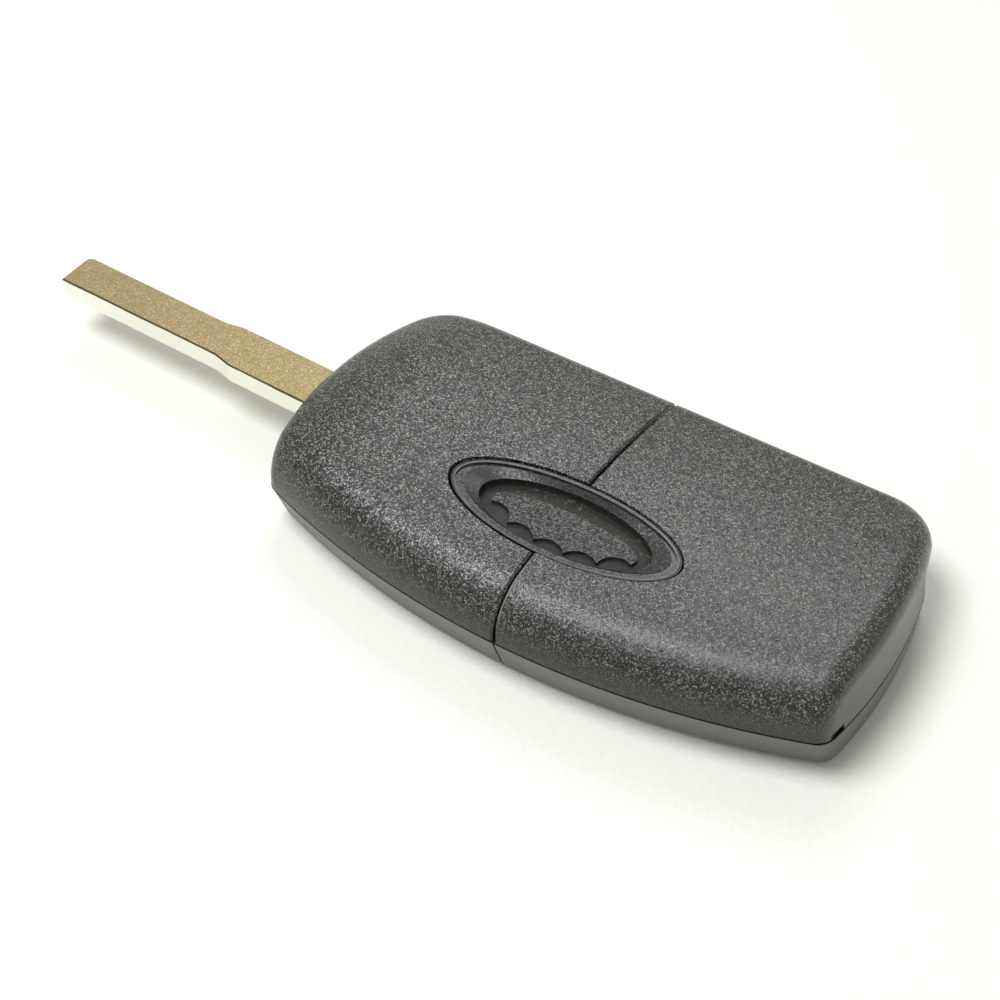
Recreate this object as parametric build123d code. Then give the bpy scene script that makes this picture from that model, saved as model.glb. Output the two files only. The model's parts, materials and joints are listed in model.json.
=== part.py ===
from build123d import *
import os
from math import radians, sqrt, tan

os.makedirs("parts", exist_ok=True)

# Flip remote key lying on its button face, blade open. Millimetres, +Z up, table at z = 0.
# +X runs towards the blade's tip, -Y is the straight far side, +Y the curved near side.
# The origin is on the seam between head and remote unit, close to the middle of the oval seat.

# Body outline seen from above, at the parting plane
near_side_y = 15.25
near_side_radius = 107.0
far_side_y = -27.3
head_end_x = 39.4
head_end_radius = 52.4
head_end_bulge_y = -7.7
tail_end_x = -39.9
tail_end_radius = 60.0
tail_end_bulge_y = -4.0
head_corner_radius = 6.5
tail_corner_radius = 7.8

# Body heights and rounding
parting_z = 6.2
crown_top_z = 14.35
crown_peak_y = -2.5
crown_radius = 85.0
crown_half_width = 30.0
nose_start_x = 26.2
nose_radius = 31.1
near_round = 6.3
rim_round = 3.0
tail_lean_deg = 7.0
side_taper_deg = 19.6
head_taper_deg = 10.0
tail_taper_deg = 3.8
under_corner = 2.6
under_round = 1.9
parting_chamfer = 0.2

# Walls and clearances
wall = 1.6
floor_thick = 1.4
seam_gap = 0.3
seam_chamfer = 0.25
fit = 0.05
lip_height = 0.8
lip_thick = 0.7
lip_gap = 0.15
lip_root = 0.8
pry_width = 2.4
pry_height = 1.0
pry_depth = 1.2
pry_y = 6.0

# Oval seat in the middle of the back
seat_x = -0.4
seat_y = 0.65
seat_length = 30.4
seat_width = 11.8
seat_base_z = 11.6
seat_sunk = 0.12
seat_rim = 0.5
seat_rim_step = 0.3
head_seat_gap = 0.25
remote_seat_gap = 0.08
seat_flare = 0.18
seat_flare_depth = 2.0
dish_top_drop = 0.25
dish_drop = 1.05
pocket_length = 22.8
pocket_width = 9.4
pocket_drop = 2.1
island_length = 19.4
island_near_reach = 3.65
island_far_reach = 2.4
island_end = 0.3
island_rise = 0.45
scallop_count = 5
scallop_pitch = 4.0
scallop_depth = 1.05
shelf_thick = 1.2
shelf_margin = 1.0

# Blade
blade_thick = 2.8
blade_mid_z = 7.6
blade_narrow = 5.5
near_step = 0.64
near_step_at = 24.4
far_step = 0.54
far_step_at = 27.2
step_run = 2.6
blade_reach = 53.3
tip_round = 0.9
tip_under_round = 1.3
blade_edge = 0.12
tang_start = 3.0
blade_lean_deg = 1.8

# Pivot and blade carrier
pivot_x = 27.5
pivot_y = -14.6
blade_offset = 8.4
hub_radius = 7.0
hub_bore_radius = 5.3
journal_radius = 6.0
lower_journal = 1.2
upper_journal = 1.5
carrier_thick = 3.8
carrier_reach = 10.0
carrier_back = 2.0
carrier_skin = 0.9
carrier_corner = 1.2
roll_pin_radius = 1.0
roll_pin_at = 6.5
slot_play = 0.15
carrier_play = 0.6
collar_wall = 1.5

# Release button and flip spring
button_face_z = 0.3
release_radius = 5.2
release_gap = 0.15
release_travel = 1.4
release_flange = 0.6
release_skin = 1.3
barrel_radius = 5.0
barrel_bore_radius = 4.2
barrel_top_z = 8.5
edge_round = 0.4
spring_pin_radius = 2.3
spring_radius = 3.2
spring_wire = 0.7
spring_turns = 5
spring_floor_gap = 0.3

# Blade channel along the straight side
channel_end_gap = 0.7
channel_side_gap = 0.4
partition = 1.7
deck = 1.3

# Key ring corner
ring_post_x = -33.7
ring_post_y = -23.5
ring_post_radius = 1.1
ring_gap_x = 4.7
ring_gap_y = 4.5
ring_floor_z = 2.2
ring_roof_z = 9.6
ring_post_seat = 0.8

# Three keys on the down side, in a row from the seam to the tail
key_names = ["unlock_button", "lock_button", "boot_button"]
key_first_x = -9.2
key_pitch = 10.4
key_y = -4.3
key_size_x = 8.0
key_size_y = 13.0
key_round = 3.6
key_gap = 0.2
key_flange = 0.6
key_travel = 0.6

# Stack inside the remote unit
pad_thick = 0.6
pad_play = 0.25
frame_wall = 0.6
dome_radius = 1.6
dome_rise = 0.1
board_z = 4.8
board_thick = 0.8
board_margin = 2.6
board_gap = 0.4
switch_size = 5.2
switch_thick = 0.75
plunger_radius = 1.3
plunger_gap = 0.05
cell_radius = 10.0
cell_thick = 3.2
cell_x = -17.0
cell_y = -3.0
cell_lift = 0.9
contact_thick = 0.25
contact_width = 4.0
contact_foot = 1.6
cell_gap = 0.35
chip_x = -31.4
chip_y = -2.5
chip_size = 5.0
chip_thick = 1.0
crystal_x = -31.0
crystal_y = 2.8
crystal_size = (3.2, 2.4, 0.8)
antenna_x = -31.6
antenna_y = -9.4
antenna_core = (7.0, 2.4, 1.6)
antenna_winding = (4.6, 3.2, 2.2)

# Posts that pin each back cover to its front cover
post_radius = 1.2
socket_wall = 0.95
post_tip_z = 2.4
head_socket_top = 5.6
head_posts = [(33.0, 4.2), (8.0, 9.4), (6.0, -12.0)]
remote_posts = [(-4.9, 9.4), (-4.9, -14.2), (-33.6, 5.7), (-33.6, -14.2)]

# Transponder wedge in the head
transponder_size = (12.0, 6.0, 3.0)
transponder_x = 17.0
transponder_y = 4.8
pocket_rib = 1.0
pocket_rib_height = 2.0
pocket_play = 0.1

# Tongues on the head that hook into the remote unit
tongue_ys = (-8.0, 5.0)
tongue_width = 4.0
tongue_z = 2.2
tongue_thick = 1.4
tongue_reach = 1.6
tongue_barb = 0.4
tongue_play = 0.2

# Values that follow from the ones above
reach = 100.0
blade_low = blade_mid_z - blade_thick / 2
blade_high = blade_mid_z + blade_thick / 2
carrier_low = blade_mid_z - carrier_thick / 2
carrier_high = blade_mid_z + carrier_thick / 2
slot_low = carrier_low - slot_play
slot_high = carrier_high + slot_play
blade_near = blade_offset + blade_narrow / 2 + near_step
blade_far = blade_offset - blade_narrow / 2 - far_step
carrier_side = blade_near + carrier_skin
slot_side_y = pivot_y + carrier_side + carrier_play
sweep_radius = sqrt(carrier_side**2 + carrier_reach**2) + carrier_play
channel_x = pivot_x - blade_reach - channel_end_gap
channel_y = pivot_y - blade_far + channel_side_gap
partition_y = channel_y + partition
ring_wall_x = ring_post_x + ring_post_radius + ring_gap_x
ring_wall_y = ring_post_y + ring_post_radius + ring_gap_y
ring_block_y = ring_wall_y + deck
bore_roof_z = carrier_high + upper_journal + slot_play
flange_z = floor_thick + fit
release_floor_z = button_face_z + release_skin
pad_z = flange_z + key_flange + key_travel + pad_play
key_xs = [key_first_x - i * key_pitch for i in range(len(key_names))]
board_top = board_z + board_thick
cell_z = board_top + cell_lift
cell_top = cell_z + cell_thick
seam_face = seam_gap / 2


def slab(x0, x1, y0, y1, z0, z1):
    """Block between two corners."""
    return Pos((x0 + x1) / 2, (y0 + y1) / 2, (z0 + z1) / 2) * Box(x1 - x0, y1 - y0, z1 - z0)


def brick(x, y, z, size):
    """Block standing on a height, centred on a point."""
    return Pos(x, y, z + size[2] / 2) * Box(*size)


def rod(x, y, radius, z0, z1):
    """Upright round bar."""
    return Pos(x, y, (z0 + z1) / 2) * Cylinder(radius, z1 - z0)


def oval(half_length, half_width, z0, z1):
    """Upright elliptical bar at the seat's place."""
    return Pos(seat_x, seat_y, z0) * extrude(Ellipse(half_length, half_width), z1 - z0)


def seat_opening(gap):
    """Space for the seat with a gap around it, flared where it leaves the back."""
    half_x, half_y = seat_length / 2 + gap, seat_width / 2 + gap
    grow = 3 * seat_flare
    low_z, high_z = crown_top_z - seat_flare_depth, crown_top_z + seat_flare_depth
    low = Pos(seat_x, seat_y, low_z) * Ellipse(half_x - seat_flare, half_y - seat_flare)
    high = Pos(seat_x, seat_y, high_z) * Ellipse(half_x + grow, half_y + grow)
    return oval(half_x, half_y, seat_base_z, high_z) + loft([low, high])


def crown(inset):
    """Solid under the crowned back, bent down towards the head's end, shrunk by an inset."""
    section = Pos(crown_peak_y, crown_top_z - crown_radius) * Circle(crown_radius - inset)
    depth_limit = Rectangle(2 * crown_half_width, nose_radius)
    section &= Pos(crown_peak_y, crown_top_z - nose_radius / 2) * depth_limit
    face = Plane((nose_start_x, 0, 0), x_dir=(0, 1, 0), z_dir=(1, 0, 0)) * section
    bend = revolve(face, Axis((nose_start_x, 0, crown_top_z - nose_radius), (0, 1, 0)), 90)
    return extrude(face, reach, dir=(-1, 0, 0)) + bend


def outline(inset):
    """Plan of the body at the parting plane with sharp corners, shrunk by an inset."""
    near = Pos(0, near_side_y - near_side_radius) * Circle(near_side_radius - inset)
    head = Pos(head_end_x - head_end_radius, head_end_bulge_y) * Circle(head_end_radius - inset)
    tail = Pos(tail_end_x + tail_end_radius, tail_end_bulge_y) * Circle(tail_end_radius - inset)
    far = Pos(0, far_side_y + inset + reach / 2) * Rectangle(2 * reach, reach)
    return near & head & tail & far


def rounded_outline(inset):
    """The same plan with its far and near corners rounded."""
    plan = outline(inset)
    plan = fillet(plan.vertices().sort_by(Axis.Y)[:2].sort_by(Axis.X)[0], tail_corner_radius - inset)
    plan = fillet(plan.vertices().sort_by(Axis.X)[-2:].sort_by(Axis.Y)[0], head_corner_radius - inset)
    return fillet(plan.vertices().sort_by(Axis.Y)[-2:], rim_round - inset)


def corner_edges(body):
    """Edges of a body that run upwards, from the far side to the near side."""
    return body.edges().filter_by(lambda e: abs(e.tangent_at(0.5).Z) > 0.7).sort_by(Axis.Y)


def far_corners_rounded(body, inset):
    """The body with its two corners on the far side rounded."""
    body = fillet(corner_edges(body)[:2].sort_by(Axis.X)[0], tail_corner_radius - inset)
    return fillet(corner_edges(body).sort_by(Axis.X)[-2:].sort_by(Axis.Y)[0], head_corner_radius - inset)


def end_cone(x, y, radius, z0, z1, lean_deg):
    """Upright round solid between two heights that narrows towards the second one."""
    height = abs(z1 - z0)
    small = radius - height * tan(radians(lean_deg))
    radii = (radius, small) if z1 > z0 else (small, radius)
    return Pos(x, y, (z0 + z1) / 2) * Cone(*radii, height)


def is_sharp(body, edge):
    """Tell whether the two faces at an edge meet at an angle."""
    middle = edge.position_at(0.5)
    faces = body.faces().filter_by(lambda f: any(edge.is_same(other) for other in f.edges()))
    first, second = [face.normal_at(middle) for face in faces]
    return first.dot(second) < 0.99


def upper_form(inset):
    """Space inside the back's outer faces, shrunk by an inset."""
    top = crown_top_z + wall
    tail_x = tail_end_x + tail_end_radius
    body = Pos(0, 0, parting_z) * extrude(outline(inset), top - parting_z)
    body &= end_cone(tail_x, tail_end_bulge_y, tail_end_radius - inset, parting_z, top, tail_lean_deg)
    body &= crown(inset)
    body = far_corners_rounded(body, inset)
    tops = body.faces().filter_by(lambda f: f.normal_at(f.center()).Z > 0.6)
    near_edges = tops.edges().filter_by(lambda e: e.center().Y > near_side_y / 2 and e.length > rim_round)
    near_edges = near_edges.filter_by(lambda e: abs(e.tangent_at(0.5).X) > 0.7)
    body = fillet(near_edges, near_round - inset)
    rims = body.edges().filter_by(lambda e: e.center().Z > parting_z + fit and is_sharp(body, e))
    body = fillet(rims, rim_round - inset)
    if inset == 0:
        body = chamfer(body.faces().sort_by(Axis.Z)[0].edges(), parting_chamfer)
    return body


def lower_form(inset, bottom):
    """Space inside the front's outer faces, from a bottom height up to the parting plane."""
    near_y = near_side_y - near_side_radius
    head_x = head_end_x - head_end_radius
    tail_x = tail_end_x + tail_end_radius
    body = end_cone(0, near_y, near_side_radius - inset, parting_z, bottom, side_taper_deg)
    body &= end_cone(head_x, head_end_bulge_y, head_end_radius - inset, parting_z, bottom, head_taper_deg)
    body &= end_cone(tail_x, tail_end_bulge_y, tail_end_radius - inset, parting_z, bottom, tail_taper_deg)
    far_y = far_side_y + inset
    low_y = far_y + (parting_z - bottom) * tan(radians(side_taper_deg))
    side = Polygon((far_y, parting_z), (low_y, bottom), (reach, bottom), (reach, parting_z), align=None)
    body &= extrude(Plane((-reach, 0, 0), x_dir=(0, 1, 0), z_dir=(1, 0, 0)) * side, 2 * reach)
    body = far_corners_rounded(body, inset)
    body = fillet(corner_edges(body)[-2:], under_corner - inset)
    if inset == 0:
        body = fillet(body.faces().sort_by(Axis.Z)[0].edges(), under_round)
    return body


def seam_chamfered(half):
    """Half of the back with its upper edge along the seam taken off."""
    edges = half.edges().filter_by(lambda e: abs(abs(e.center().X) - seam_face) < fit)
    return chamfer(edges.filter_by(lambda e: e.center().Z > parting_z + parting_chamfer), seam_chamfer)


outer_top = upper_form(0)
inner_top = upper_form(wall)
outer_low = lower_form(0, 0)
inner_low = lower_form(wall, floor_thick)
head_zone = slab(seam_face, reach, -reach, reach, -reach, reach)
remote_zone = slab(-reach, -seam_face, -reach, reach, -reach, reach)
head_wall = slab(seam_face, seam_face + wall, -reach, reach, -reach, reach)
remote_wall = slab(-seam_face - wall, -seam_face, -reach, reach, -reach, reach)
head_top = seam_chamfered(outer_top & head_zone)
remote_top = seam_chamfered(outer_top & remote_zone)
lip_inner = rounded_outline(wall + lip_gap + lip_thick)
lip = Pos(0, 0, parting_z) * extrude(rounded_outline(wall + lip_gap) - lip_inner, lip_height)
lip += Pos(0, 0, parting_z - lip_root) * extrude(rounded_outline(wall / 2) - lip_inner, lip_root)
lip &= slab(-reach, reach, ring_block_y + lip_gap, reach, 0, reach)
lip -= slab(-seam_face - wall - lip_gap, seam_face + wall + lip_gap, -reach, reach, 0, reach)
shelf_x = seat_length / 2 + shelf_margin
shelf_y = seat_width / 2 + shelf_margin
seat_shelf = oval(shelf_x, shelf_y, seat_base_z - shelf_thick, reach)

# Space that the blade and its carrier sweep, and the channel that the folded blade lies in
blade_sweep = slab(pivot_x, reach, -reach, slot_side_y, slot_low, slot_high)
blade_sweep += slab(channel_x, pivot_x, -reach, channel_y, slot_low, slot_high)
blade_sweep += rod(pivot_x, pivot_y, sweep_radius, slot_low, slot_high)
partition_wall = slab(channel_x, pivot_x - sweep_radius, channel_y, partition_y, -reach, reach)
channel_deck = slab(channel_x, pivot_x - sweep_radius, -reach, partition_y, slot_low - deck, slot_low)

# Solid corner and the pocket in it for the key ring
ring_block = slab(-reach, channel_x, -reach, ring_block_y, -reach, reach)
ring_pocket = slab(-reach, ring_wall_x, -reach, ring_wall_y, ring_floor_z, ring_roof_z)
ring_post_low = ring_floor_z - ring_post_seat
ring_post_high = ring_roof_z + ring_post_seat
post_bore = rod(ring_post_x, ring_post_y, ring_post_radius + fit, ring_post_low, ring_post_high)


def posts(places):
    """Round posts from the roof of a back cover down into its front cover."""
    inside = outer_top + lower_form(wall, 0)
    return [inside & rod(x, y, post_radius, post_tip_z, crown_top_z) for x, y in places]


def sockets(places, top):
    """Sleeves on the floor of a front cover that the posts enter."""
    return [rod(x, y, post_radius + socket_wall, 0, top) for x, y in places]


def socket_bores(places):
    """Holes for the posts."""
    return [rod(x, y, post_radius + fit, post_tip_z - fit, reach) for x, y in places]


def head_back_cover():
    cover = head_top - inner_top
    cover += head_top & head_wall
    cover += head_top & partition_wall
    cover += head_top & rod(pivot_x, pivot_y, journal_radius + fit + collar_wall, slot_high, reach)
    cover += head_top & seat_shelf
    cover -= blade_sweep
    cover -= rod(pivot_x, pivot_y, journal_radius + fit, 0, bore_roof_z)
    cover -= seat_opening(head_seat_gap)
    cover += head_top & rod(pivot_x, pivot_y, spring_pin_radius, parting_z, reach)
    for post in posts(head_posts):
        cover += post
    return cover


def head_front_cover():
    cover = outer_low - inner_low
    cover += outer_low & (head_wall + partition_wall + channel_deck)
    cover += outer_low & rod(pivot_x, pivot_y, journal_radius + fit + collar_wall, 0, slot_low)
    for sleeve in sockets(head_posts, head_socket_top):
        cover += outer_low & sleeve
    length, width = transponder_size[0] + 2 * pocket_play, transponder_size[1] + 2 * pocket_play
    tray_size = (length + 2 * pocket_rib, width + 2 * pocket_rib, pocket_rib_height)
    tray = brick(transponder_x, transponder_y, floor_thick, tray_size)
    cover += tray - brick(transponder_x, transponder_y, floor_thick, (length, width, reach))
    cover += lip
    cover &= head_zone
    cover -= blade_sweep
    cover -= rod(pivot_x, pivot_y, journal_radius + fit, floor_thick, reach)
    cover -= rod(pivot_x, pivot_y, release_radius + release_gap, -reach, reach)
    for bore in socket_bores(head_posts):
        cover -= bore
    back_x = -seam_face - wall - tongue_reach
    for y in tongue_ys:
        sides = (y - tongue_width / 2, y + tongue_width / 2)
        cover += slab(back_x, seam_face + wall, *sides, tongue_z, tongue_z + tongue_thick)
        barb_top = tongue_z + tongue_thick + tongue_barb
        cover += slab(back_x, back_x + tongue_reach - tongue_play, *sides, tongue_z, barb_top)
    return cover


def remote_back_cover():
    cover = remote_top - inner_top
    cover += remote_top & (remote_wall + partition_wall + ring_block + seat_shelf)
    cover -= blade_sweep
    cover -= ring_pocket
    cover -= post_bore
    cover -= seat_opening(remote_seat_gap)
    pry_x = tail_end_x + pry_depth
    cover -= slab(-reach, pry_x, pry_y - pry_width / 2, pry_y + pry_width / 2, 0, parting_z + pry_height)
    for post in posts(remote_posts):
        cover += post
    return cover


def key_prism(x, grow, z0, z1):
    """Upright rounded bar with the outline of a key, grown by a margin."""
    shape = RectangleRounded(key_size_x + 2 * grow, key_size_y + 2 * grow, key_round + grow)
    return Pos(x, key_y, z0) * extrude(shape, z1 - z0)


def pad_plan(grow):
    """Corners of the rectangle that the three keys share, grown by a margin."""
    x_margin = key_size_x / 2 + grow
    y_margin = key_size_y / 2 + grow
    return key_xs[-1] - x_margin, key_xs[0] + x_margin, key_y - y_margin, key_y + y_margin


def remote_front_cover():
    cover = outer_low - inner_low
    cover += outer_low & (remote_wall + partition_wall + channel_deck + ring_block)
    for sleeve in sockets(remote_posts, board_z):
        cover += outer_low & sleeve
    inside = key_flange + key_gap
    cover += slab(*pad_plan(inside + frame_wall), 0, pad_z)
    cover += lip
    cover &= remote_zone
    cover -= blade_sweep
    cover -= ring_pocket
    cover -= post_bore
    for x in key_xs:
        cover -= key_prism(x, inside, floor_thick, reach)
        cover -= key_prism(x, key_gap, -reach, reach)
    for bore in socket_bores(remote_posts):
        cover -= bore
    for y in tongue_ys:
        y0 = y - tongue_width / 2 - tongue_play
        y1 = y + tongue_width / 2 + tongue_play
        z1 = tongue_z + tongue_thick + tongue_barb + tongue_play
        cover -= slab(-seam_face - wall, 0, y0, y1, tongue_z - tongue_play, z1)
    return cover


def island_cusp(i):
    """Point on the island's near edge where two bites meet."""
    limit = island_length / 2 - island_end
    x = min(max((i - scallop_count / 2) * scallop_pitch, -limit), limit)
    return Vector(x, island_near_reach * sqrt(1 - (2 * x / island_length) ** 2))


def seat_island(z0, z1):
    """Raised island on the pocket's floor, with a row of round bites along its near edge."""
    half = island_length / 2
    plan = Ellipse(half, island_near_reach) & Pos(0, reach / 2) * Rectangle(reach, reach)
    plan += Ellipse(half, island_far_reach) & Pos(0, -reach / 2) * Rectangle(reach, reach)
    for i in range(scallop_count):
        start, end = island_cusp(i), island_cusp(i + 1)
        half_chord = (end - start).length / 2
        out = Vector(start.Y - end.Y, end.X - start.X).normalized()
        radius = (half_chord**2 + scallop_depth**2) / (2 * scallop_depth)
        middle = (start + end) / 2 + out * (radius - scallop_depth)
        plan -= Pos(middle.X, middle.Y) * Circle(radius)
    return Pos(seat_x, seat_y, z0) * extrude(plan, z1 - z0)


def seat_insert():
    """Oval insert: a narrow rim, a step, a dished band, then a pocket with the island on its floor."""
    half_x, half_y = seat_length / 2, seat_width / 2
    inner_x, inner_y = half_x - seat_rim, half_y - seat_rim
    pocket_x, pocket_y = pocket_length / 2, pocket_width / 2
    dish_z = crown_top_z - dish_top_drop
    low_z = crown_top_z - dish_drop
    floor_z = crown_top_z - pocket_drop
    insert = oval(half_x, half_y, seat_base_z, reach) & crown(seat_sunk)
    insert -= oval(inner_x, inner_y, floor_z, reach) - crown(seat_sunk + seat_rim_step)
    low_oval = Pos(seat_x, seat_y, low_z) * Ellipse(pocket_x, pocket_y)
    dish_oval = Pos(seat_x, seat_y, dish_z) * Ellipse(inner_x, inner_y)
    insert -= loft([low_oval, dish_oval])
    insert -= oval(pocket_x, pocket_y, floor_z, low_z)
    return insert + seat_island(floor_z, floor_z + island_rise)


def on_pivot(shape):
    """Place a piece of the blade group, drawn about the pivot, at its open rest."""
    return Pos(pivot_x, pivot_y, 0) * Rot(0, 0, -blade_lean_deg) * shape


def key_blade():
    narrow_near = blade_offset + blade_narrow / 2
    narrow_far = blade_offset - blade_narrow / 2
    corners = [
        (tang_start, blade_far),
        (far_step_at, blade_far),
        (far_step_at + step_run, narrow_far),
        (blade_reach, narrow_far),
        (blade_reach, narrow_near),
        (near_step_at + step_run, narrow_near),
        (near_step_at, blade_near),
        (tang_start, blade_near),
    ]
    plan = make_face(Polyline(*corners, close=True))
    step_corners = plan.vertices().filter_by(lambda v: near_step_at - 1 < v.X < far_step_at + step_run + 1)
    plan = fillet(step_corners, step_run)
    tip_far = plan.vertices().sort_by(Axis.X)[-2:].sort_by(Axis.Y)[0]
    plan = fillet(tip_far, tip_round)
    blade = Pos(0, 0, blade_low) * extrude(plan, blade_thick)
    tip_face_edges = blade.faces().sort_by(Axis.X)[-1].edges()
    blade = fillet(tip_face_edges.sort_by(Axis.Z)[0], tip_under_round)
    blade = chamfer(blade.faces().sort_by(Axis.Z)[-1].edges(), blade_edge)
    blade -= rod(roll_pin_at, blade_offset, roll_pin_radius + fit, 0, reach)
    return on_pivot(blade)


def blade_carrier():
    arm = slab(-carrier_back, carrier_reach, 0, carrier_side, carrier_low, carrier_high)
    arm = fillet(arm.edges().filter_by(Axis.Z).sort_by(Axis.Y)[-2:], carrier_corner)
    carrier = arm + rod(0, 0, hub_radius, carrier_low, carrier_high)
    carrier += rod(0, 0, journal_radius, carrier_low - lower_journal, carrier_high + upper_journal)
    carrier -= rod(0, 0, hub_bore_radius, 0, reach)
    carrier -= slab(tang_start, reach, blade_far, blade_near, blade_low, blade_high)
    carrier -= rod(roll_pin_at, blade_offset, roll_pin_radius + fit, 0, reach)
    return on_pivot(carrier)


def blade_roll_pin():
    return on_pivot(rod(roll_pin_at, blade_offset, roll_pin_radius, carrier_low, carrier_high))


def release_button():
    cap = rod(pivot_x, pivot_y, release_radius, button_face_z, flange_z + release_flange)
    cap = fillet(cap.edges().sort_by(Axis.Z)[0], edge_round)
    cap += rod(pivot_x, pivot_y, journal_radius - release_gap, flange_z, flange_z + release_flange)
    cap += rod(pivot_x, pivot_y, barrel_radius, flange_z, barrel_top_z)
    return cap - rod(pivot_x, pivot_y, barrel_bore_radius, release_floor_z, reach)


def flip_spring():
    start_z = release_floor_z + release_travel + spring_floor_gap + spring_wire / 2
    rise = bore_roof_z - fit - spring_wire / 2 - start_z
    path = Helix(rise / spring_turns, rise, spring_radius)
    section = Plane(path @ 0, z_dir=path % 0) * Circle(spring_wire / 2)
    return Pos(pivot_x, pivot_y, start_z) * sweep(section, path=path)


def key_cap(x):
    cap = key_prism(x, 0, button_face_z, flange_z + key_flange)
    cap = fillet(cap.faces().sort_by(Axis.Z)[0].edges(), edge_round)
    return cap + key_prism(x, key_flange, flange_z, flange_z + key_flange)


def key_pad():
    """Rubber sheet over the keys, with a round pusher under each switch."""
    sheet = slab(*pad_plan(key_flange + key_gap + frame_wall / 2), pad_z, pad_z + pad_thick)
    for x in key_xs:
        sheet += rod(x, key_y, dome_radius, pad_z + pad_thick, pad_z + pad_thick + dome_rise)
    return sheet


def circuit_board():
    plan = Pos(0, 0, board_z) * extrude(rounded_outline(board_margin), board_thick)
    board = plan & slab(-reach, -seam_face - wall - board_gap, ring_block_y + board_gap, reach, 0, reach)
    for x, y in remote_posts:
        board -= rod(x, y, post_radius + lip_gap, 0, reach)
    return board


def tact_switches():
    pad_top = pad_z + pad_thick + dome_rise + plunger_gap
    group = []
    for x in key_xs:
        body = brick(x, key_y, board_z - switch_thick, (switch_size, switch_size, switch_thick))
        group.append(body + rod(x, key_y, plunger_radius, pad_top, board_z - switch_thick))
    return Compound(group)


def contact_strip(x0, x1, height, leg_x):
    """Flat strip at a height with a leg and a foot on the board."""
    y0, y1 = cell_y - contact_width / 2, cell_y + contact_width / 2
    side = 1 if leg_x > cell_x else -1
    leg = sorted((leg_x, leg_x + side * contact_thick))
    foot = sorted((leg_x, leg_x + side * contact_foot))
    strip = slab(x0, x1, y0, y1, height, height + contact_thick)
    strip += slab(*leg, y0, y1, board_top, height + contact_thick)
    return strip + slab(*foot, y0, y1, board_top, board_top + contact_thick)


def battery_plus_contact():
    leg_x = cell_x + cell_radius + cell_gap
    return contact_strip(cell_x - cell_radius / 2, leg_x, cell_top, leg_x)


def battery_minus_contact():
    leg_x = cell_x - cell_radius + contact_foot + cell_gap
    return contact_strip(leg_x, cell_x + cell_radius / 2, cell_z - contact_thick, leg_x)


def coin_cell():
    cell = rod(cell_x, cell_y, cell_radius, cell_z, cell_top)
    return fillet(cell.edges().filter_by(GeomType.CIRCLE), edge_round)


def antenna_coil():
    core = brick(antenna_x, antenna_y, board_top + (antenna_winding[2] - antenna_core[2]) / 2, antenna_core)
    return core + brick(antenna_x, antenna_y, board_top, antenna_winding)


def key_ring_post():
    return rod(ring_post_x, ring_post_y, ring_post_radius, ring_post_low, ring_post_high)


nodes = {
    "head_back_cover": head_back_cover(),
    "head_front_cover": head_front_cover(),
    "remote_back_cover": remote_back_cover(),
    "remote_front_cover": remote_front_cover(),
    "seat_insert": seat_insert(),
    "key_blade": key_blade(),
    "blade_carrier": blade_carrier(),
    "blade_roll_pin": blade_roll_pin(),
    "release_button": release_button(),
    "flip_spring": flip_spring(),
    "transponder": brick(transponder_x, transponder_y, floor_thick, transponder_size),
    "key_pad": key_pad(),
    "circuit_board": circuit_board(),
    "tact_switches": tact_switches(),
    "coin_cell": coin_cell(),
    "battery_plus_contact": battery_plus_contact(),
    "battery_minus_contact": battery_minus_contact(),
    "control_chip": brick(chip_x, chip_y, board_top, (chip_size, chip_size, chip_thick)),
    "crystal": brick(crystal_x, crystal_y, board_top, crystal_size),
    "antenna_coil": antenna_coil(),
    "key_ring_post": key_ring_post(),
}
for name, x in zip(key_names, key_xs):
    nodes[name] = key_cap(x)

for name, shape in nodes.items():
    export_step(shape, f"parts/{name}.step")
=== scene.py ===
import json
from math import cos, radians, sin

import bpy
from mathutils import Matrix, Vector


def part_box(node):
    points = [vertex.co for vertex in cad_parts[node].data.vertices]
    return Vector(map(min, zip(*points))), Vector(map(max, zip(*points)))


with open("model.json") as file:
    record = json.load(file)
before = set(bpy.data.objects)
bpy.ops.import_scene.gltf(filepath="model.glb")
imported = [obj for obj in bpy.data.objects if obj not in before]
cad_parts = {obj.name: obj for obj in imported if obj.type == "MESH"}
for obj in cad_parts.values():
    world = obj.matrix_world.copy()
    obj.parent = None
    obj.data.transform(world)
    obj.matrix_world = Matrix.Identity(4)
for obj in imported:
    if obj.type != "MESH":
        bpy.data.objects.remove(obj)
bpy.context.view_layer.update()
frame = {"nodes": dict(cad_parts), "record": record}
mm = 0.001
print("frame loaded")


# Camera: where it stands round the key, in degrees and millimetres
cameraPlan = {
    "azimuth": 212.966,
    "elevation": 45.776,
    "roll": -0.188,
    "target": (10.704, -2.877, 8.0),
    "distance": 263.76,
    "lens": 79.2,
    "sensor": 36.0,
    "nearest": 0.01,  # metres
    "furthest": 20,  # metres
}


def makeCamera(plan):
    turn, rise, roll = (radians(plan[key]) for key in ("azimuth", "elevation", "roll"))
    back = Vector((sin(turn) * cos(rise), -cos(turn) * cos(rise), sin(rise)))
    level = Vector((0, 0, 1)).cross(back).normalized()
    up = back.cross(level)
    right = level * cos(roll) + up * sin(roll)
    up = back.cross(right)
    data = bpy.data.cameras.new("camera")
    data.lens = plan["lens"]
    data.sensor_width = plan["sensor"]
    data.clip_start = plan["nearest"]
    data.clip_end = plan["furthest"]
    camera = bpy.data.objects.new("camera", data)
    bpy.context.scene.collection.objects.link(camera)
    turned = Matrix((right, up, back)).transposed().to_4x4()
    place = (Vector(plan["target"]) + back * plan["distance"]) * mm
    camera.matrix_world = Matrix.Translation(place) @ turned
    bpy.context.scene.camera = camera


makeCamera(cameraPlan)
print("camera placed")


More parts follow.
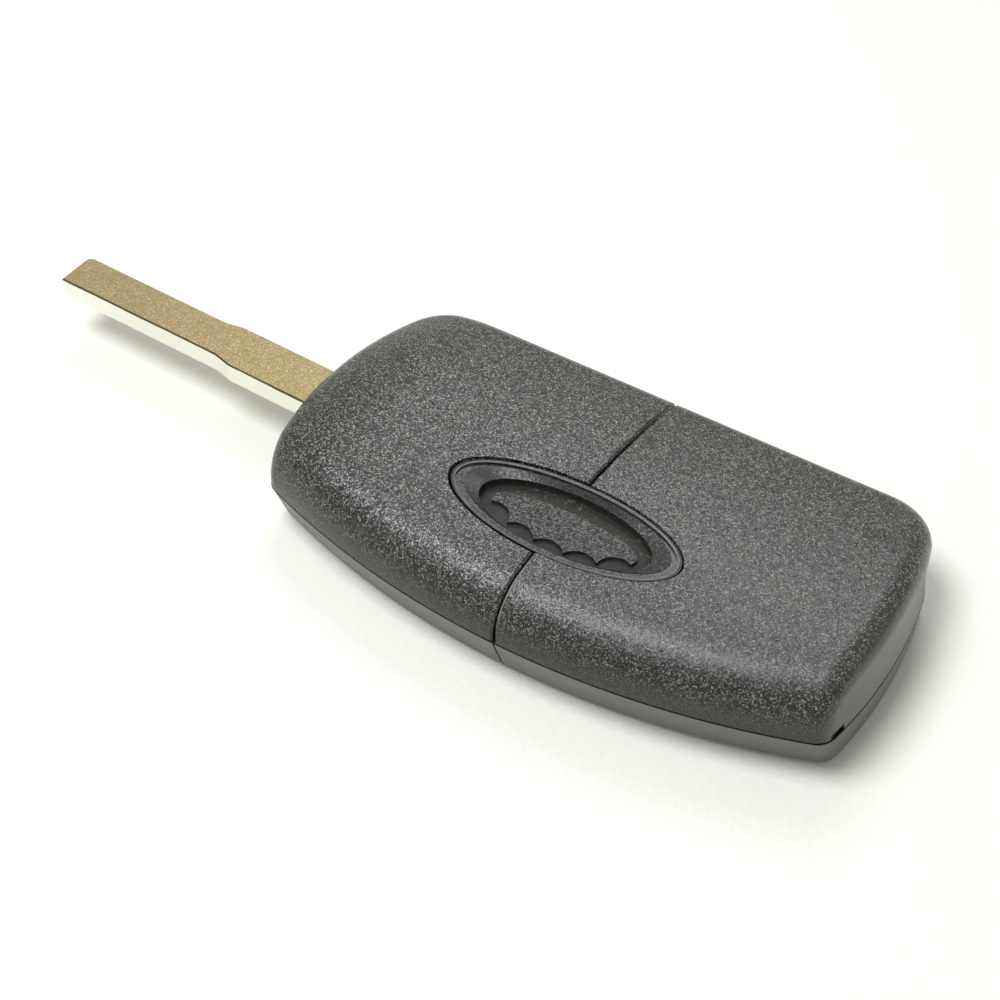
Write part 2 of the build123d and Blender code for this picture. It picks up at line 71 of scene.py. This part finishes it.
# Materials
class Wire:
    # one socket of a material's tree: arithmetic on it adds Math nodes
    def __init__(self, tree, socket=None):
        self.tree = tree
        self.socket = socket

    # any other node: its type, its settings, then the values or wires of its sockets
    def node(self, kind, settings=None, sockets=None, output=0):
        made = self.tree.nodes.new(kind)
        for name, value in (settings or {}).items():
            setattr(made, name, value)
        for key, value in (sockets or {}).items():
            if isinstance(value, Wire):
                self.tree.links.new(value.socket, made.inputs[key])
            else:
                made.inputs[key].default_value = value
        return Wire(self.tree, made.outputs[output])

    def math(self, operation, first, second=0.0):
        return self.node("ShaderNodeMath", {"operation": operation}, {0: first, 1: second})

    def __add__(self, other):
        return self.math("ADD", self, other)

    __radd__ = __add__

    def __sub__(self, other):
        return self.math("SUBTRACT", self, other)

    def __rsub__(self, other):
        return self.math("SUBTRACT", other, self)

    def __mul__(self, other):
        return self.math("MULTIPLY", self, other)

    __rmul__ = __mul__

    def __pow__(self, other):
        return self.math("POWER", self, other)

    def size(self):
        return self.math("ABSOLUTE", self)

    # a value from 0 to 1 made to run from low to high
    def between(self, low, high):
        return self * (high - low) + low

    # straight ramp from 0 at low to 1 at high, held at both ends
    def ramp(self, low, high):
        sockets = {0: self, 1: low, 2: high, 3: 0.0, 4: 1.0}
        return self.node("ShaderNodeMapRange", {"clamp": True}, sockets)

    # the same between two places in millimetres
    def span(self, ends):
        return self.ramp(ends[0] * mm, ends[1] * mm)

    # the second colour where this value is 1
    def mix(self, first, second):
        sockets = {0: self, 6: first, 7: second}
        return self.node("ShaderNodeMix", {"data_type": "RGBA"}, sockets, output=2)

    def vector(self, operation, first, second, output="Vector"):
        return self.node("ShaderNodeVectorMath", {"operation": operation}, {0: first, 1: second}, output)

    def axis(self, name):
        return self.node("ShaderNodeSeparateXYZ", {}, {0: self}, output=name)

    # soft noise whose coarsest waves are this many millimetres wide
    def noise(self, width, detail=3.0, rough=0.6):
        sockets = {"Vector": self, "Scale": 1 / width / mm, "Detail": detail, "Roughness": rough}
        return self.node("ShaderNodeTexNoise", {}, sockets)

    # cells of a mean width: a chance value for each cell, and the height of flat facets
    # that tilt each their own way, at most by the given slope
    def cells(self, width, slope):
        sockets = {"Vector": self, "Scale": 1 / (width * mm)}
        colour = self.node("ShaderNodeTexVoronoi", {"feature": "F1"}, sockets, output="Color")
        centre = Wire(self.tree, colour.socket.node.outputs["Position"])
        offset = self.vector("SUBTRACT", self, centre)
        tilt = self.vector("SUBTRACT", colour, (0.5, 0.5, 0.5))
        facets = self.vector("DOT_PRODUCT", offset, tilt, output="Value") * (2 * slope / mm)
        return colour.axis("X"), facets


def newMaterial(name, constants):
    material = bpy.data.materials.new(name)
    material.use_nodes = True
    shader = material.node_tree.nodes["Principled BSDF"]
    for key, value in constants.items():
        shader.inputs[key].default_value = value
    wire = Wire(material.node_tree)
    place = wire.node("ShaderNodeTexCoord", output="Object")
    return material, wire, place


def drive(wire, **sockets):
    # links wires to the shader's sockets, whose names have underscores for spaces here
    shader = wire.tree.nodes["Principled BSDF"]
    for name, value in sockets.items():
        wire.tree.links.new(value.socket, shader.inputs[name.replace("_", " ")])


def bump(wire, height, depth=1.0):
    # depth is how many millimetres a height of 1 stands for
    return wire.node("ShaderNodeBump", {}, {"Height": height, "Distance": depth * mm, "Strength": 1.0})


def grey(value, warm=0.0):
    return (value * (1 + warm), value, value * (1 - warm), 1)


# the back covers: spark-eroded grain with glints painted into its pale grains, smooth on the tail's
# face, painted shade low on the sides, a painted highlight on the seam's chamfer, painted shade on the
# bevel at the parting line
grainPlan = {
    "specular": 0.62,
    "cell": 0.15,
    "slope": 0.16,
    "rarity": 5.0,  # the higher, the fewer pale grains painted as glints
    "fine": 0.3,
    "cloud": 14.0,
    "dark": (0.001, 0.002, 0.001, 1),
    "pale": (0.290, 0.315, 0.288, 1),
    "smooth": (0.052, 0.053, 0.050, 1),
    "edgeHighlight": (0.36, 0.37, 0.35, 1),
    "tail": (-38.9, -37.6),  # x where the grain comes in
    "low": (7.4, 10.6),  # z over which the painted glints grow; below it, painted shade
    "shadedGlintShare": 0.12,
    "rim": (-0.45, -0.36),  # x of the painted highlight, up to the seam's chamfer
    "rimEnd": (0, -0.1),
    "rimFrom": (4.5, 9.0),  # y over which the painted highlight grows
    "seam": (6.42, 6.37),  # z of the bevel above the parting line
    "rough": 0.14,
    "roughFine": 0.06,
    "roughCell": 0.05,
    "seamRough": 0.4,
    "fineBump": 0.06,
    "smoothBump": 0.1,
}


def grainedPlastic(name, plan):
    constants = {"Metallic": 0.0, "Specular IOR Level": plan["specular"]}
    material, wire, place = newMaterial(name, constants)
    chance, facets = place.cells(plan["cell"], plan["slope"])
    fine = place.noise(plan["fine"], rough=0.7)
    cloud = place.noise(plan["cloud"], detail=2.0, rough=0.5)
    side, height = place.axis("X"), place.axis("Z")
    tail = side.span(plan["tail"])
    low = height.span(plan["low"])
    # pale grains painted in as glints; the lower on the sides, the fewer of them: painted shade there
    paintedGlint = chance ** plan["rarity"] * fine.between(0.6, 1.4)
    paintedGlint = paintedGlint * low.between(plan["shadedGlintShare"], 1.0) * cloud.between(0.8, 1.2)
    # a painted highlight along the seam's chamfer on the tail side, where the near side rounds over
    rim = side.span(plan["rim"]) * side.span(plan["rimEnd"])
    rim = rim * place.axis("Y").span(plan["rimFrom"]) * low * fine.between(0.4, 1.2)
    # painted shade darkens the bevel that meets the front covers, at the parting line
    seamShade = height.span(plan["seam"])
    colour = tail.mix(plan["smooth"], paintedGlint.mix(plan["dark"], plan["pale"]))
    colour = rim.mix(colour, plan["edgeHighlight"])
    rough = plan["rough"] + fine * plan["roughFine"] + (1 - chance * tail) * plan["roughCell"]
    drive(wire,
          Base_Color=seamShade.mix(colour, plan["dark"]),
          Roughness=rough + seamShade * plan["seamRough"],
          Normal=bump(wire, (facets + fine * plan["fineBump"]) * tail.between(plan["smoothBump"], 1.0)))
    return material


# smooth mouldings: a faint grain and slow changes of tone and gloss
satinPlan = {
    "specular": 0.5,
    "grain": 0.2,
    "cloud": 12.0,
    "cloudShare": 0.7,
    "roughCloud": 0.1,
    "roughGrain": 0.04,
    "grainBump": 0.008,
    "seamShade": grey(0.002),
}


def satinPlastic(name, dark, pale, rough, seam=None, plan=satinPlan):
    constants = {"Metallic": 0.0, "Specular IOR Level": plan["specular"]}
    material, wire, place = newMaterial(name, constants)
    grain = place.noise(plan["grain"])
    cloud = place.noise(plan["cloud"], rough=0.55)
    share = plan["cloudShare"]
    colour = (cloud * share + grain * (1 - share)).mix(dark, pale)
    if seam:
        # painted shade on the bevel under the parting line
        colour = place.axis("Z").span(seam).mix(colour, plan["seamShade"])
    drive(wire,
          Base_Color=colour,
          Roughness=rough + cloud * plan["roughCloud"] + grain * plan["roughGrain"],
          Normal=bump(wire, grain, plan["grainBump"]))
    return material


# the oval seat: fine grain, painted shade at its edge, a painted highlight on the lip inside it, brown
# film of old glue round the island
seatPlan = {
    "specular": 0.5,
    "middle": (-0.4, 0.65),
    "half": (15.2, 5.9),
    "cell": 0.18,
    "slope": 0.2,
    "rarity": 2.0,
    "fine": 0.3,
    "film": 2.6,
    "dark": (0.004, 0.004, 0.004, 1),
    "pale": (0.060, 0.064, 0.058, 1),
    "glue": (0.008, 0.006, 0.004, 1),
    "glueCover": 0.9,
    "dried": (0.100, 0.092, 0.075, 1),
    "edgeHighlight": (0.11, 0.115, 0.11, 1),
    "edge": (0.975, 0.985),  # 1 is the oval's edge
    "litLip": (0.95, 0.962),
    "floor": (12.3, 12.5),  # z under which the glue lies
    "ring": (12.9, 13.1),  # z of the dished band
    "line": (0.004, 0.014),
    "lineSide": (-0.35, -0.15),
    "rough": 0.24,
    "roughFine": 0.1,
    "roughEdge": 0.2,
    "glueCalm": 0.4,
    "ringCalm": 0.55,
    "filmBump": 0.15,
    "lineBump": 0.05,
}


def seatPlastic(name, plan):
    constants = {"Metallic": 0.0, "Specular IOR Level": plan["specular"]}
    material, wire, place = newMaterial(name, constants)
    chance, facets = place.cells(plan["cell"], plan["slope"])
    film = place.noise(plan["film"])
    fine = place.noise(plan["fine"], rough=0.7)
    # how far out on the oval: 1 on its edge
    along = (place.axis("X") - plan["middle"][0] * mm) * (1 / (plan["half"][0] * mm))
    across = (place.axis("Y") - plan["middle"][1] * mm) * (1 / (plan["half"][1] * mm))
    out = (along * along + across * across) ** 0.5
    # painted shade on the oval's edge, where the seat meets the shell
    edge = out.ramp(*plan["edge"])
    # a painted highlight on the lip just inside that edge
    litLip = out.ramp(*plan["litLip"]) * (1 - edge) * fine.between(0.3, 1.0)
    height = place.axis("Z")
    glued = 1 - height.span(plan["floor"])
    ring = height.span(plan["ring"])
    # a dried film leaves pale wavy lines where the noise crosses its middle, on the far side
    line = 1 - (film - 0.5).size().ramp(*plan["line"])
    line = line * glued * (1 - across.ramp(*plan["lineSide"]))
    plastic = (chance ** plan["rarity"] * fine.between(0.6, 1.4)).mix(plan["dark"], plan["pale"])
    colour = litLip.mix(plastic, plan["edgeHighlight"])
    colour = (glued * plan["glueCover"]).mix(colour, plan["glue"])
    colour = line.mix(colour, plan["dried"])
    rough = plan["rough"] + fine * plan["roughFine"] + edge * plan["roughEdge"]
    relief = facets * (1 - glued * plan["glueCalm"] - ring * plan["ringCalm"])
    relief = relief + film * glued * plan["filmBump"] + line * plan["lineBump"]
    drive(wire,
          Base_Color=edge.mix(colour, plan["dark"]),
          Roughness=rough + glued * film.between(0.2, 0.5),
          Normal=bump(wire, relief))
    return material


# the blade: golden satin faces with fine specks, pale sheared sides, a dark line along the edges
bladePlan = {
    "speck": 0.12,
    "slope": 0.07,
    "rarity": 4.0,
    "grain": 0.2,
    "cloud": 6.0,
    "cloudShare": 0.6,
    "dark": (0.215, 0.170, 0.080, 1),
    "pale": (0.310, 0.252, 0.130, 1),
    "bright": (0.46, 0.39, 0.25, 1),
    "side": (0.90, 0.895, 0.80, 1),
    "edge": (0.10, 0.075, 0.035, 1),
    "flat": (0.8, 0.95),  # how level a face has to be to count as flat
    "top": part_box("key_blade")[1][2],  # metres
    "line": (0.34, 0.204),  # depth below the top where the dark line ends
    "wander": 0.4,
    "rough": 0.26,
    "roughCloud": 0.06,
    "grainBump": 0.004,
}


def bladeMetal(name, plan):
    material, wire, place = newMaterial(name, {"Metallic": 1.0})
    chance, facets = place.cells(plan["speck"], plan["slope"])
    grain = place.noise(plan["grain"], rough=0.65)
    cloud = place.noise(plan["cloud"])
    steep = wire.node("ShaderNodeNewGeometry", output="True Normal").axis("Z") ** 2.0
    flat = steep.ramp(*plan["flat"])
    # how far below the top face: the line wanders a little with the noise
    depth = plan["top"] - place.axis("Z") + (cloud - 0.5) * (plan["wander"] * mm)
    edge = depth.span(plan["line"]) * (1 - flat)
    share = plan["cloudShare"]
    golden = (cloud * share + grain * (1 - share)).mix(plan["dark"], plan["pale"])
    golden = (chance ** plan["rarity"]).mix(golden, plan["bright"])
    drive(wire,
          Base_Color=edge.mix(flat.mix(plan["side"], golden), plan["edge"]),
          Roughness=plan["rough"] + flat * grain.between(0.12, 0.22) + cloud * plan["roughCloud"],
          Normal=bump(wire, facets + grain * plan["grainBump"]))
    return material


# the other metals: a fine tilted grain, slow stains and uneven gloss
metalPlan = {
    "cell": 0.2,
    "grain": 0.3,
    "cloud": 4.0,
    "cloudShare": 0.6,
    "roughGrain": 0.12,
    "roughCloud": 0.08,
    "grainBump": 0.01,
}


def plainMetal(name, dark, pale, rough=0.3, slope=0.04, plan=metalPlan):
    material, wire, place = newMaterial(name, {"Metallic": 1.0})
    chance, facets = place.cells(plan["cell"], slope)
    grain = place.noise(plan["grain"])
    cloud = place.noise(plan["cloud"], rough=0.5)
    share = plan["cloudShare"]
    drive(wire,
          Base_Color=(cloud * share + chance * (1 - share)).mix(dark, pale),
          Roughness=rough + grain * plan["roughGrain"] + cloud * plan["roughCloud"],
          Normal=bump(wire, facets + grain * plan["grainBump"]))
    return material


# one finish for each slot of the record: two tones, roughness, then the seam's z or the slope
finishes = {
    "shell": grainedPlastic("grainedShell", grainPlan),
    "front_shell": satinPlastic("satinFront", grey(0.12, 0.02), grey(0.175, 0.02), 0.34, (5.98, 6.03)),
    "seat": seatPlastic("grainedSeat", seatPlan),
    "blade": bladeMetal("nickelBlade", bladePlan),
    "carrier": plainMetal("castCarrier", grey(0.22, 0.02), grey(0.40, 0.02), 0.4, 0.16),
    "pin": plainMetal("groundPin", grey(0.55), grey(0.7)),
    "spring": plainMetal("springWire", grey(0.42), grey(0.55), 0.25),
    "release": plainMetal("satinChrome", grey(0.62), grey(0.74), 0.22),
    "keys": satinPlastic("keyCaps", grey(0.04), grey(0.06), 0.5),
    "pad": satinPlastic("rubberPad", grey(0.09), grey(0.13), 0.7),
    "board": satinPlastic("boardLacquer", (0.015, 0.10, 0.04, 1), (0.03, 0.15, 0.06, 1), 0.35),
    "switch": plainMetal("switchCan", grey(0.6), grey(0.7)),
    "cell": plainMetal("cellCan", grey(0.6), grey(0.72)),
    "contact": plainMetal("contactStrip", grey(0.6, 0.08), grey(0.72, 0.08)),
    "chip": satinPlastic("chipResin", grey(0.02), grey(0.03), 0.6),
    "crystal": plainMetal("crystalCan", grey(0.6, 0.04), grey(0.7, 0.04)),
    "coil": plainMetal("coilWire", (0.30, 0.12, 0.04, 1), (0.45, 0.2, 0.07, 1), 0.4),
    "transponder": satinPlastic("transponderResin", grey(0.02), grey(0.035), 0.3),
}


def dressNodes(nodes, record):
    slotOf = {row["node"]: row["material_slot"] for row in record["subparts"]}
    for name, node in nodes.items():
        node.data.materials.clear()
        node.data.materials.append(finishes[slotOf[name]])


dressNodes(frame["nodes"], frame["record"])
print("materials assigned")


# Stage: a pale paper floor that turns into a white backdrop
floorPlan = {
    "size": 4.0,  # metres
    "pale": (0.985, 0.98, 0.90, 1),
    "shaded": grey(0.93),
    "glow": (0.05, 0.05, 0.045, 1),
    "fade": (150, 500),  # distance from the key over which the backdrop takes over
    "rough": 0.9,
    "specular": 0.1,
    "fibre": 0.9,
    "fibreShade": (0.2, 0.6),
    "fibreBump": 0.14,
}


def makeFloor(plan):
    half = plan["size"] / 2
    corners = [(-half, -half, 0), (half, -half, 0), (half, half, 0), (-half, half, 0)]
    mesh = bpy.data.meshes.new("floor")
    mesh.from_pydata(corners, [], [(0, 1, 2, 3)])
    floor = bpy.data.objects.new("floor", mesh)
    bpy.context.scene.collection.objects.link(floor)
    constants = {
        "Roughness": plan["rough"],
        "Specular IOR Level": plan["specular"],
        "Emission Strength": 1.0,
    }
    material, wire, place = newMaterial("floorPaper", constants)
    paper = place.noise(plan["fibre"])
    # away from the key the paper turns into the white backdrop, for the camera alone
    seen = wire.node("ShaderNodeLightPath", output="Is Camera Ray")
    away = place.vector("LENGTH", place, (0, 0, 0), output="Value").span(plan["fade"])
    glow = away.mix(plan["glow"], grey(1.0))
    drive(wire,
          Base_Color=paper.ramp(*plan["fibreShade"]).mix(plan["shaded"], plan["pale"]),
          Emission_Color=seen.mix(grey(0.0), glow),
          Normal=bump(wire, paper, plan["fibreBump"]))
    mesh.materials.append(material)


# World: white where the camera looks, elsewhere a studio that darkens towards the horizon
worldPlan = {
    "horizon": (0.08, 0.08, 0.075, 1),
    "above": (1.0, 0.985, 0.93, 1),
    "climb": (0.0, 0.6),  # height of a direction over which the studio brightens
    "strength": 0.31,
}


def makeWorld(plan):
    world = bpy.data.worlds.new("studio")
    bpy.context.scene.world = world
    world.use_nodes = True
    tree = world.node_tree
    sky = tree.nodes["Background"]
    wire = Wire(tree)
    rays = ("Is Camera Ray", "Is Glossy Ray", "Is Transmission Ray")
    camera, glossy, through = (wire.node("ShaderNodeLightPath", output=ray) for ray in rays)
    # on a world, Generated is the direction that a ray looks in
    climb = wire.node("ShaderNodeTexCoord", output="Generated").axis("Z").ramp(*plan["climb"])
    studio = climb.mix(plan["horizon"], plan["above"])
    tree.links.new(studio.socket, sky.inputs["Color"])
    tree.links.new(glossy.between(plan["strength"], 1.0).socket, sky.inputs["Strength"])
    white = wire.node("ShaderNodeBackground", {}, {"Color": grey(1.0), "Strength": 1.0})
    seen = wire.math("MAXIMUM", camera, through)
    both = wire.node("ShaderNodeMixShader", {}, {0: seen, 1: Wire(tree, sky.outputs[0]), 2: white})
    tree.links.new(both.socket, tree.nodes["World Output"].inputs["Surface"])


# Lamps: round and soft, all aimed at the origin; distances and sizes in metres, power in watts
lampPlan = {
    "key": {
        "from": (0.26, 0.25, 0.93),
        "away": 0.6,
        "size": 0.32,
        "power": 2.75,
        "colour": (0.96, 0.99, 1.0),
    },
    "back": {
        "from": (0.27, -0.60, 0.75),
        "away": 0.8,
        "size": 0.34,
        "power": 1.5,
        "colour": (1.0, 1.0, 1.0),
    },
}


def makeLamps(plan):
    for name, lamp in plan.items():
        data = bpy.data.lights.new(name, "AREA")
        data.shape = "DISK"
        data.size = lamp["size"]
        data.energy = lamp["power"]
        data.color = lamp["colour"]
        holder = bpy.data.objects.new(name, data)
        bpy.context.scene.collection.objects.link(holder)
        towards = Vector(lamp["from"]).normalized()
        holder.location = towards * lamp["away"]
        holder.rotation_mode = "QUATERNION"
        holder.rotation_quaternion = towards.to_track_quat("Z", "Y")


makeFloor(floorPlan)
makeWorld(worldPlan)
makeLamps(lampPlan)
bpy.context.scene.view_settings.view_transform = "Standard"
print("stage and lamps placed")
